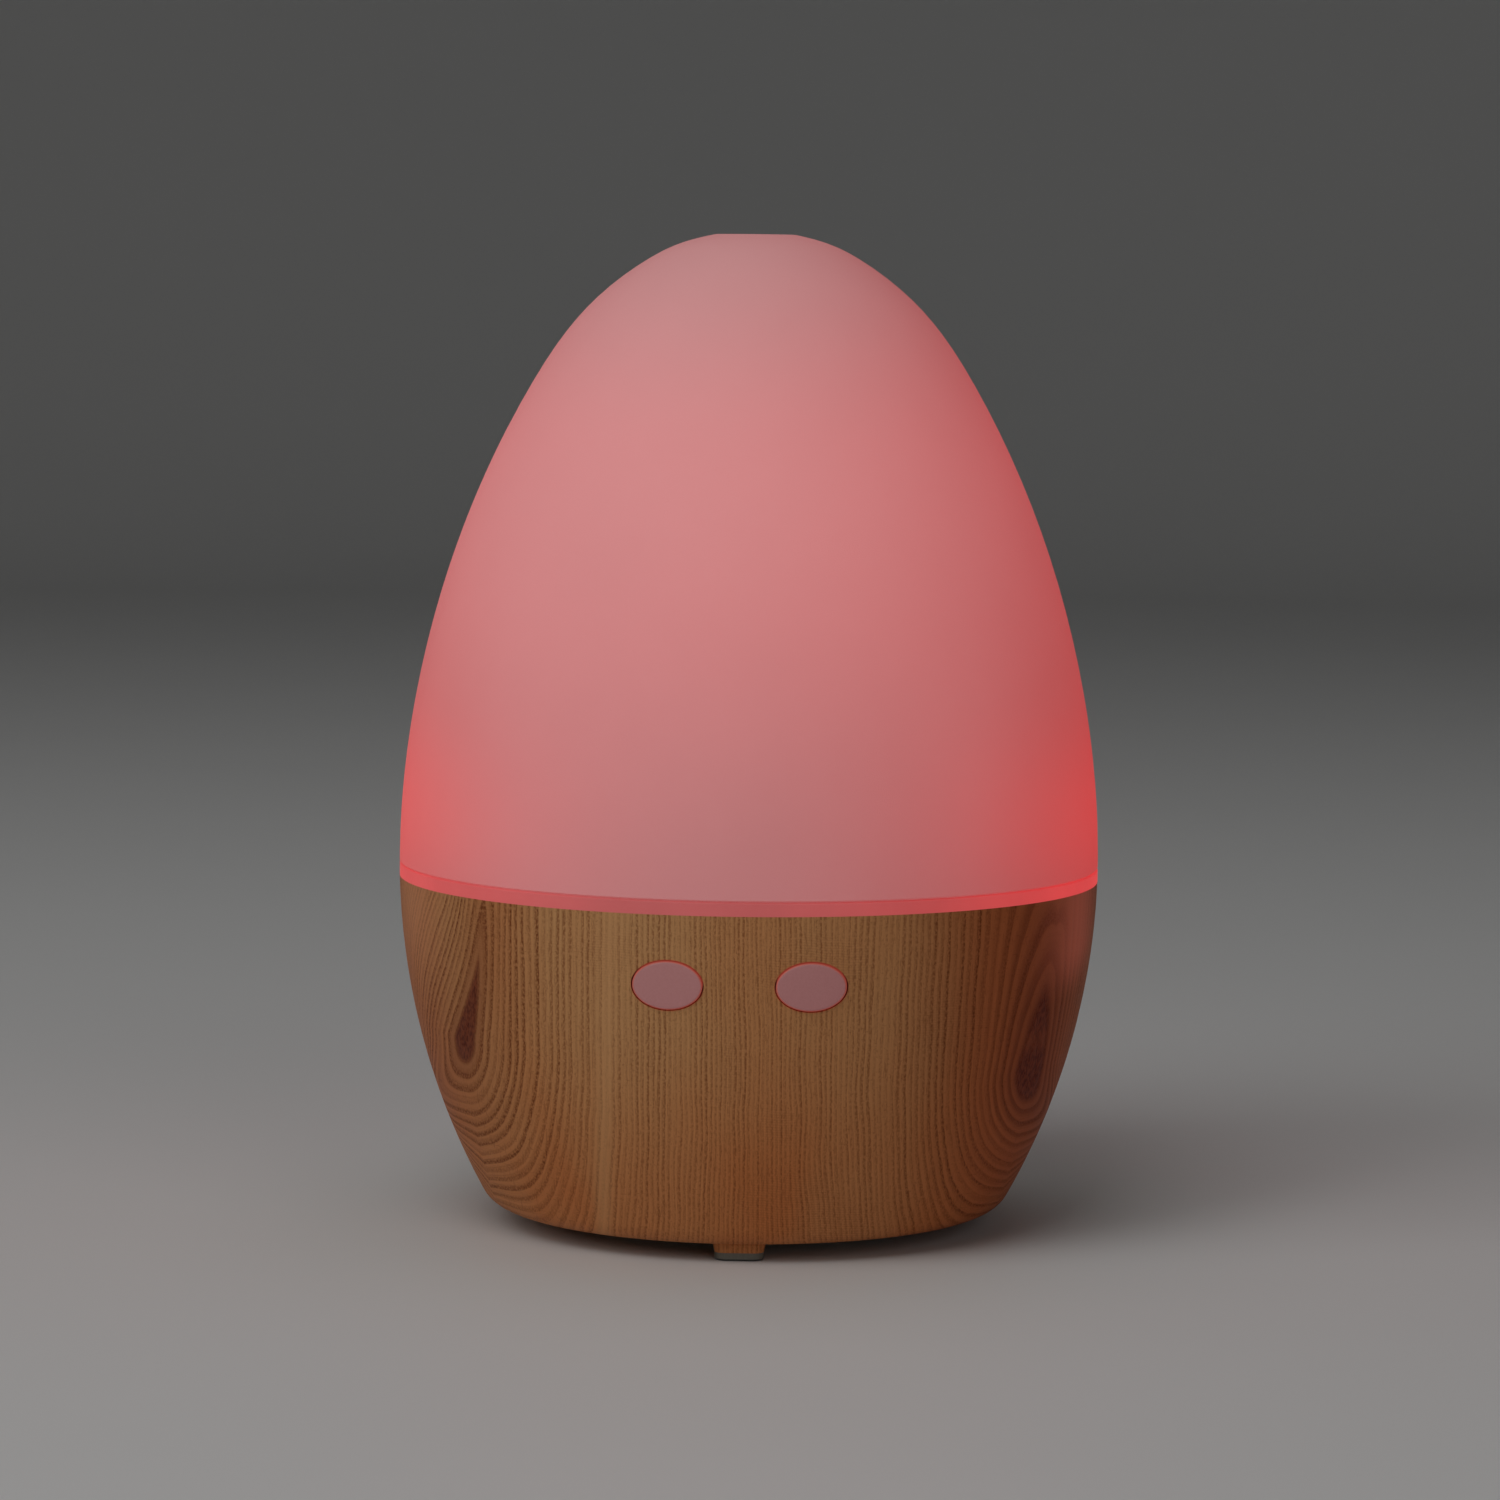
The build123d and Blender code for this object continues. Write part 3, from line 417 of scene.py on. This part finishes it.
# ---- Lit plastics -------------------------------------------------------------------------------------
def frosted_cover():
    """Frosted white, with a painted red glow for the lamps inside: strongest low at the sides, fading to the
    top. Painted shade greys it lower down and a painted red tint colours its lower sides.
    """
    s = Surface("frosted_cover", roughness=0.68, Specular_IOR_Level=0.06)
    cloud = s.noise(0.03, detail=3.0)
    grain = s.noise(6.0, detail=2.0)
    # Painted shade: the white greys towards the bottom, where the parts inside shade it.
    tone = s.mix(cloud * 0.4 + s.z.step(52.0, 115.0) * 0.6, (0.41, 0.39, 0.395), (0.58, 0.57, 0.57))
    fine = s.mix(grain * 0.3, tone, (0.46, 0.445, 0.45))
    # Painted red light: the lower sides are tinted redder, where the lamps shine strongest.
    painted_red_tint = s.x.size().step(30.0, 52.0) * s.z.step(120.0, 56.0)
    s.set("Base Color", s.tinted(painted_red_tint, fine, (0.95, 0.8, 0.78)))
    # Painted glow: the lamps' red light through the frosting, set by height and side.
    level = s.z.step(50.0, 97.0) * 0.13 - s.z.step(115.0, 155.0) * 0.15 + 0.26
    level = level + s.sideways() * s.z.bell(62.0, 15.0) * 0.27
    unevenness = (cloud - 0.5) * 0.12 + (grain - 0.5) * 0.1 + 1.0
    s.glow(s.scaled((1.0, 0.012, 0.016), level * unevenness))
    s.bump(grain, 0.02)
    return s.material


def tank_plastic():
    """Milky plastic of the tank. A painted red glow stands for the lamps' light that its rim, the ring at
    the seam, carries outwards.
    """
    s = Surface("tank_plastic", roughness=0.4, Specular_IOR_Level=0.15)
    cloud = s.noise(0.08, detail=3.0)
    s.set("Base Color", s.mix(cloud, (0.24, 0.185, 0.18), (0.3, 0.235, 0.23)))
    rim = s.radius().step(46.0, 52.0)
    # Painted glow: brightest on the rim and at the sides, a little brighter to the right.
    level = (rim * 0.16 + 0.15) + s.sideways() * 0.3 + s.x * 0.0009
    s.glow(s.scaled((1.0, 0.03, 0.035), level * ((cloud - 0.5) * 0.3 + 1.0)))
    s.bump(s.noise(1.5), 0.03)
    return s.material


def inner_cover_plastic():
    """Milky plastic of the funnel and chimney, with a painted red glow for light from below."""
    s = Surface("inner_cover_plastic", roughness=0.35, Specular_IOR_Level=0.4)
    cloud = s.noise(0.06, detail=3.0)
    s.set("Base Color", s.mix(cloud, (0.55, 0.52, 0.51), (0.66, 0.63, 0.62)))
    # Painted glow, stronger lower down.
    s.glow(s.scaled((1.0, 0.05, 0.05), s.z.step(150.0, 50.0) * 0.22))
    s.bump(s.noise(1.2), 0.03)
    return s.material


def button_plastic():
    """Pink-white push button with an orange-red rim, where light comes out round it. The rim's colour and
    glow are painted light, and the whole button glows faintly with painted light.
    """
    s = Surface("button_plastic", roughness=0.5, Specular_IOR_Level=0.15)
    grain = s.noise(3.0, detail=2.0)
    across = ((s.x.size() - BUTTON_X) / BUTTON_HALF_WIDTH).squared()
    up = ((s.z - BUTTON_Z) / BUTTON_HALF_HEIGHT).squared()
    front = (-s.y).step(LIT_RIM_BACK, LIT_RIM_FRONT)
    # Painted light: orange-red rim colour and glow round the face.
    painted_lit_rim = (across + up).root().step(0.93, 1.0) * front
    face = s.mix(grain, (0.47, 0.26, 0.25), (0.52, 0.3, 0.29))
    s.set("Base Color", s.mix(painted_lit_rim * 0.8, face, (0.4, 0.1, 0.06)))
    light = s.mix(painted_lit_rim, (0.06, 0.004, 0.006), (0.17, 0.022, 0.014))
    s.glow(s.scaled(light, front * 0.8 + 0.2))
    s.bump(grain, 0.03)
    return s.material


def lamp_package():
    """White lamp body with a lit window set into its top."""
    s = Surface("lamp_package", roughness=0.35, Specular_IOR_Level=0.4)
    window_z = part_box("led_1")[1].z / MM - LAMP_WINDOW_DEPTH
    window = s.z.step(window_z + 0.1, window_z + 0.05) * s.z.step(window_z - 0.1, window_z - 0.05)
    body = s.mix(s.noise(2.0), (0.75, 0.72, 0.66), (0.85, 0.82, 0.76))
    s.set("Base Color", s.mix(window, body, (0.75, 0.34, 0.14)))
    s.glow(s.scaled((1.0, 0.05, 0.04), window * 1.5))
    s.bump(s.noise(4.0), 0.02)
    return s.material


# ---- Plain surfaces -----------------------------------------------------------------------------------
def moulded(name, low, high, roughness=0.5, scale=1.0, depth=0.03):
    """Plain moulded, rubber or painted surface with a little unevenness in colour, gloss and relief."""
    s = Surface(name, roughness=roughness)
    cloud = s.noise(scale * 0.15, detail=3.0)
    grain = s.noise(scale * 3.0, detail=3.0, roughness=0.6)
    s.set("Base Color", s.mix(cloud * 0.6 + grain * 0.4, low, high))
    s.set("Roughness", (grain - 0.5) * 0.16 + (cloud - 0.5) * 0.1 + roughness)
    s.bump(grain, depth)
    return s.material


def brushed(name, colour, roughness=0.32):
    """Turned or drawn metal, with fine marks round the axis."""
    s = Surface(name, roughness=roughness, Metallic=1.0)
    marks = s.noise(9.0, detail=2.0, where=s.point(s.x * 0.2, s.y * 0.2, s.z * 2.0))
    darker = tuple(part * 0.75 for part in colour)
    s.set("Base Color", s.mix(marks, darker, colour))
    s.set("Roughness", (marks - 0.5) * 0.25 + roughness)
    s.bump(marks, 0.01)
    return s.material


def foot_rubber():
    """Dark rubber pad, greyer above its sole; painted shade makes it darkest along the bottom, where it
    meets the floor. Streaked from the mould.
    """
    s = Surface("foot_rubber", roughness=0.75, Specular_IOR_Level=0.3)
    # Painted shade: dark along the bottom of the pad, next to the floor.
    above_painted_shade = s.z.step(0.15, 0.4)
    streaks = s.noise(2.5, detail=2.0, where=s.point(s.x, s.y, s.z * 0.1))
    colour = s.mix(above_painted_shade, (0.035, 0.032, 0.032), (0.18, 0.17, 0.14))
    s.set("Base Color", s.mix((streaks - 0.35) * 0.8, colour, (0.09, 0.085, 0.075)))
    s.bump(s.noise(5.0, detail=3.0), 0.04)
    return s.material


def circuit_board():
    """Green solder mask over patches of parallel copper tracks, with tinned through holes between them."""
    s = Surface("circuit_board", roughness=0.35, Specular_IOR_Level=0.5)
    across, up = s.x, s.y + s.z
    patch = [(place / TRACK_PATCH).whole() for place in (across, up)]
    turned = s.chance(*patch, 1.0).step(0.49, 0.51)
    filled = s.chance(*patch, 2.0).step(0.3, 0.32)
    off_track = [((place / TRACK_PITCH).fraction() - 0.5).size() for place in (up, across)]
    level, steep = [off.step(0.3, 0.22) for off in off_track]
    track = (level * (-turned + 1.0) + steep * turned) * filled
    cell = [(place / HOLE_PITCH).whole() for place in (across, up)]
    used = s.chance(*cell, 3.0).step(0.8, 0.82)
    hole_x, hole_y = [(place / HOLE_PITCH).fraction() - 0.5 for place in (across, up)]
    ring = (hole_x.squared() + hole_y.squared()).root() * HOLE_PITCH
    pad = ring.step(PAD_RADIUS + 0.03, PAD_RADIUS - 0.03) * used
    mask = s.mix(s.noise(0.3), (0.012, 0.11, 0.035), (0.016, 0.15, 0.05))
    tracked = s.mix(track * 0.7, mask, (0.03, 0.24, 0.075))
    tinned = s.mix(ring.step(HOLE_RADIUS + 0.02, HOLE_RADIUS - 0.02), (0.55, 0.54, 0.5), (0.02, 0.02, 0.02))
    s.set("Base Color", s.mix(pad, tracked, tinned))
    s.set("Roughness", pad * -0.1 + track * 0.05 + 0.35)
    s.bump(track + pad, 0.04)
    return s.material


def studio_floor():
    """Plain pale floor, hardly uneven in tone."""
    s = Surface("studio_floor", roughness=0.55, Specular_IOR_Level=0.3)
    s.set("Base Color", s.mix(s.noise(0.01), (0.8, 0.8, 0.79), (0.82, 0.82, 0.81)))
    return s.material


# Material of each slot in the CAD record.
MATERIALS = {
    "wood_grain_film": wood_film(),
    "frosted_cover": frosted_cover(),
    "translucent_tank": tank_plastic(),
    "inner_cover_plastic": inner_cover_plastic(),
    "button_plastic": button_plastic(),
    "foot_rubber": foot_rubber(),
    "seal_rubber": moulded("silicone", (0.5, 0.49, 0.47), (0.6, 0.59, 0.56), 0.6),
    "bottom_plastic": moulded("bottom_plastic", (0.55, 0.5, 0.44), (0.62, 0.57, 0.5), 0.5, 1.4, 0.05),
    "fan_plastic": moulded("fan_plastic", (0.012, 0.012, 0.013), (0.03, 0.03, 0.032), 0.4),
    "board": circuit_board(),
    "screw_steel": brushed("screw_steel", (0.6, 0.6, 0.58)),
    "brass": brushed("turned_brass", (0.75, 0.52, 0.22), 0.3),
    "plated_pin": brushed("plated_pin", (0.75, 0.75, 0.76), 0.2),
    "ceramic_disc": moulded("silvered_ceramic", (0.5, 0.49, 0.47), (0.62, 0.61, 0.58), 0.35, 0.8),
    "retainer_aluminium": brushed("stamped_aluminium", (0.72, 0.73, 0.74), 0.38),
    "copper_winding": brushed("enamelled_copper", (0.72, 0.3, 0.12), 0.25),
    "ferrite": moulded("ferrite", (0.02, 0.02, 0.022), (0.045, 0.045, 0.05), 0.6),
    "black_epoxy": moulded("black_epoxy", (0.012, 0.012, 0.014), (0.028, 0.028, 0.03), 0.45),
    "capacitor_can": moulded("capacitor_sleeve", (0.03, 0.045, 0.14), (0.05, 0.065, 0.19), 0.3),
    "led_package": lamp_package(),
    "socket_nylon": moulded("nylon", (0.7, 0.67, 0.58), (0.78, 0.75, 0.66), 0.45),
    "wire_red": moulded("red_insulation", (0.35, 0.01, 0.008), (0.45, 0.018, 0.012), 0.4),
    "wire_black": moulded("black_insulation", (0.012, 0.012, 0.012), (0.025, 0.025, 0.025), 0.4),
    "ribbon_grey": moulded("grey_cable", (0.3, 0.3, 0.3), (0.38, 0.38, 0.38), 0.5),
    "stator_steel": brushed("stator_steel", (0.4, 0.39, 0.37), 0.4),
}


def dress_cad_nodes():
    """Gives each carried-over CAD node the material of its slot."""
    for subpart in frame["record"]["subparts"]:
        node = NODES[subpart["node"]]
        for place in node.material_slots:
            place.material = MATERIALS[subpart["material_slot"]]


# ---- Meshes -------------------------------------------------------------------------------------------
def finished(name, mesh):
    """Smooth-shaded object from a bmesh, linked to the scene."""
    bmesh.ops.recalc_face_normals(mesh, faces=mesh.faces)
    data = bpy.data.meshes.new(name)
    mesh.to_mesh(data)
    mesh.free()
    data.polygons.foreach_set("use_smooth", [True] * len(data.polygons))
    piece = bpy.data.objects.new(name, data)
    bpy.context.scene.collection.objects.link(piece)
    return piece


def lathe(name, profile, sides, centre=(0.0, 0.0)):
    """Mesh turned about an upright axis from an open profile of (radius, height) points in metres."""
    mesh = bmesh.new()
    rings = []
    for radius, height in profile:
        turns = [2 * pi * n / sides for n in range(sides if radius > 0.0 else 1)]
        places = [(centre[0] + radius * sin(t), centre[1] - radius * cos(t), height) for t in turns]
        rings.append([mesh.verts.new(place) for place in places])
    for lower, upper in zip(rings, rings[1:]):
        for n in range(sides):
            corners = [lower[n % len(lower)], lower[(n + 1) % len(lower)]]
            corners += [upper[(n + 1) % len(upper)], upper[n % len(upper)]]
            mesh.faces.new(list(dict.fromkeys(corners)))
    return finished(name, mesh)


# ---- Pieces made here ---------------------------------------------------------------------------------
def button_skin_y(x, z, proud):
    """Front of the shell, or of a surface that far in front of it, at a place on the button."""
    radius = SIDE_ARC_CENTRE_R + sqrt((SIDE_ARC_RADIUS + proud) ** 2 - (z - SIDE_ARC_CENTRE_Z) ** 2)
    return -sqrt(radius**2 - x**2)


def button_cap(name, node, body, middle_x):
    """Oval push button: a face that follows the shell, a rounded rim, straight sides and a flange behind."""
    low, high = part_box(node)
    flange_back, flange_front = high.y / MM, high.y / MM - BUTTON_FLANGE_DEPTH
    flange_width, flange_height = (high.x - low.x) / MM / 2, (high.z - low.z) / MM / 2
    face_width, face_height = BUTTON_HALF_WIDTH - BUTTON_ROUND, BUTTON_HALF_HEIGHT - BUTTON_ROUND
    mesh = bmesh.new()
    rings = []

    def add_ring(half_width, half_height, depth):
        ring = []
        for n in range(BUTTON_SIDES):
            turn = 2 * pi * n / BUTTON_SIDES
            x = middle_x + half_width * cos(turn)
            z = BUTTON_Z + half_height * sin(turn)
            ring.append(mesh.verts.new((x * MM, depth(x, z) * MM, z * MM)))
        rings.append(ring)

    for n in range(1, FACE_RINGS + 1):
        part = n / FACE_RINGS
        add_ring(face_width * part, face_height * part, lambda x, z: button_skin_y(x, z, BUTTON_PROUD))
    for n in range(1, ROUND_RINGS + 1):
        turn = n / ROUND_RINGS * pi / 2
        grow = BUTTON_ROUND * sin(turn)
        proud = BUTTON_PROUD - BUTTON_ROUND * (1 - cos(turn))
        add_ring(face_width + grow, face_height + grow, lambda x, z, p=proud: button_skin_y(x, z, p))
    add_ring(BUTTON_HALF_WIDTH, BUTTON_HALF_HEIGHT, lambda x, z: flange_front)
    for inset, back in ((FLANGE_ROUND, 0.0), (0.0, FLANGE_ROUND)):
        add_ring(flange_width - inset, flange_height - inset, lambda x, z, b=back: flange_front + b)
    for inset, back in ((0.0, FLANGE_ROUND), (FLANGE_ROUND, 0.0)):
        add_ring(flange_width - inset, flange_height - inset, lambda x, z, b=back: flange_back - b)

    for inner, outer in zip(rings, rings[1:]):
        for n in range(BUTTON_SIDES):
            following = (n + 1) % BUTTON_SIDES
            mesh.faces.new([inner[n], inner[following], outer[following], outer[n]])
    face_y = button_skin_y(middle_x, BUTTON_Z, BUTTON_PROUD)
    for ring, y in ((rings[0], face_y), (rings[-1], flange_back)):
        hub = mesh.verts.new((middle_x * MM, y * MM, BUTTON_Z * MM))
        for n in range(BUTTON_SIDES):
            mesh.faces.new([ring[n], ring[(n + 1) % BUTTON_SIDES], hub])
    cap = finished(name, mesh)
    cap.data.set_sharp_from_angle(angle=radians(40))
    cap.data.materials.append(MATERIALS["button_plastic"])
    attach(cap, body)
    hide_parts(node)


def inductor_turns():
    """Enamelled wire wound on the drum core in close turns."""
    low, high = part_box("inductor_winding")
    middle = ((low.x + high.x) / 2, (low.y + high.y) / 2)
    outside = (high.x - low.x) / 2
    wire = (high.z - low.z) / WINDING_TURNS
    inside = outside - 2 * wire
    profile = [(inside, low.z)]
    for turn in range(WINDING_TURNS):
        for n in range(WIRE_STEPS + 1):
            angle = pi * n / WIRE_STEPS
            out = outside - wire / 2 + wire / 2 * sin(angle)
            profile.append((out, low.z + wire * (turn + (1 - cos(angle)) / 2)))
    profile.append((inside, high.z))
    profile.append((inside, low.z))
    winding = lathe("inductor_turns", profile, WINDING_SIDES, middle)
    winding.data.materials.append(MATERIALS["copper_winding"])
    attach(winding, "base")
    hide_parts("inductor_winding")


# ---- Stage --------------------------------------------------------------------------------------------
def make_floor():
    """Round pale floor that curves up into a backdrop all round."""
    profile = [(FLOOR_FLAT_RADIUS * n / FLOOR_FLAT_STEPS, 0.0) for n in range(FLOOR_FLAT_STEPS + 1)]
    for n in range(1, FLOOR_CURVE_STEPS + 1):
        turn = n / FLOOR_CURVE_STEPS * pi / 2
        out = FLOOR_FLAT_RADIUS + (FLOOR_RIM_RADIUS - FLOOR_FLAT_RADIUS) * sin(turn)
        profile.append((out, FLOOR_RIM_HEIGHT * (1 - cos(turn))))
    floor = lathe("floor", profile, FLOOR_SIDES)
    floor.data.materials.append(studio_floor())


def area_light(name, place, size, power):
    """Soft square light at a place, turned to the middle of the object."""
    lamp = bpy.data.lights.new(name, "AREA")
    lamp.size = size
    lamp.energy = power
    light = bpy.data.objects.new(name, lamp)
    light.location = place
    light.rotation_euler = (CAMERA_TARGET - Vector(place)).to_track_quat("-Z", "Y").to_euler()
    bpy.context.scene.collection.objects.link(light)


def make_lights():
    """Four soft lights and a faint even one from all round."""
    for name, (place, size, power) in SOFTBOXES.items():
        area_light(name, place, size, power)
    world = bpy.data.worlds.new("studio")
    world.use_nodes = True
    background = world.node_tree.nodes["Background"]
    background.inputs["Color"].default_value = (1.0, 1.0, 1.0, 1.0)
    background.inputs["Strength"].default_value = WORLD_LIGHT
    bpy.context.scene.world = world
    bpy.context.scene.view_settings.view_transform = "Standard"


def make_camera():
    """Long lens at the front, almost as high as the object and rolled a little."""
    data = bpy.data.cameras.new("camera")
    data.lens = CAMERA_LENS
    camera = bpy.data.objects.new("camera", data)
    x = CAMERA_DISTANCE * sin(CAMERA_AZIMUTH)
    y = -CAMERA_DISTANCE * cos(CAMERA_AZIMUTH)
    camera.location = (x, y, CAMERA_HEIGHT)
    aim = (CAMERA_TARGET - camera.location).to_track_quat("-Z", "Y")
    camera.rotation_mode = "QUATERNION"
    camera.rotation_quaternion = aim @ Quaternion((0, 0, 1), CAMERA_ROLL)
    bpy.context.scene.collection.objects.link(camera)
    bpy.context.scene.camera = camera


make_camera()
make_lights()
make_floor()
dress_cad_nodes()
button_cap("mist_button_cap", "mist_button", "mist_button", -BUTTON_X)
button_cap("light_button_cap", "light_button", "light_button", BUTTON_X)
inductor_turns()
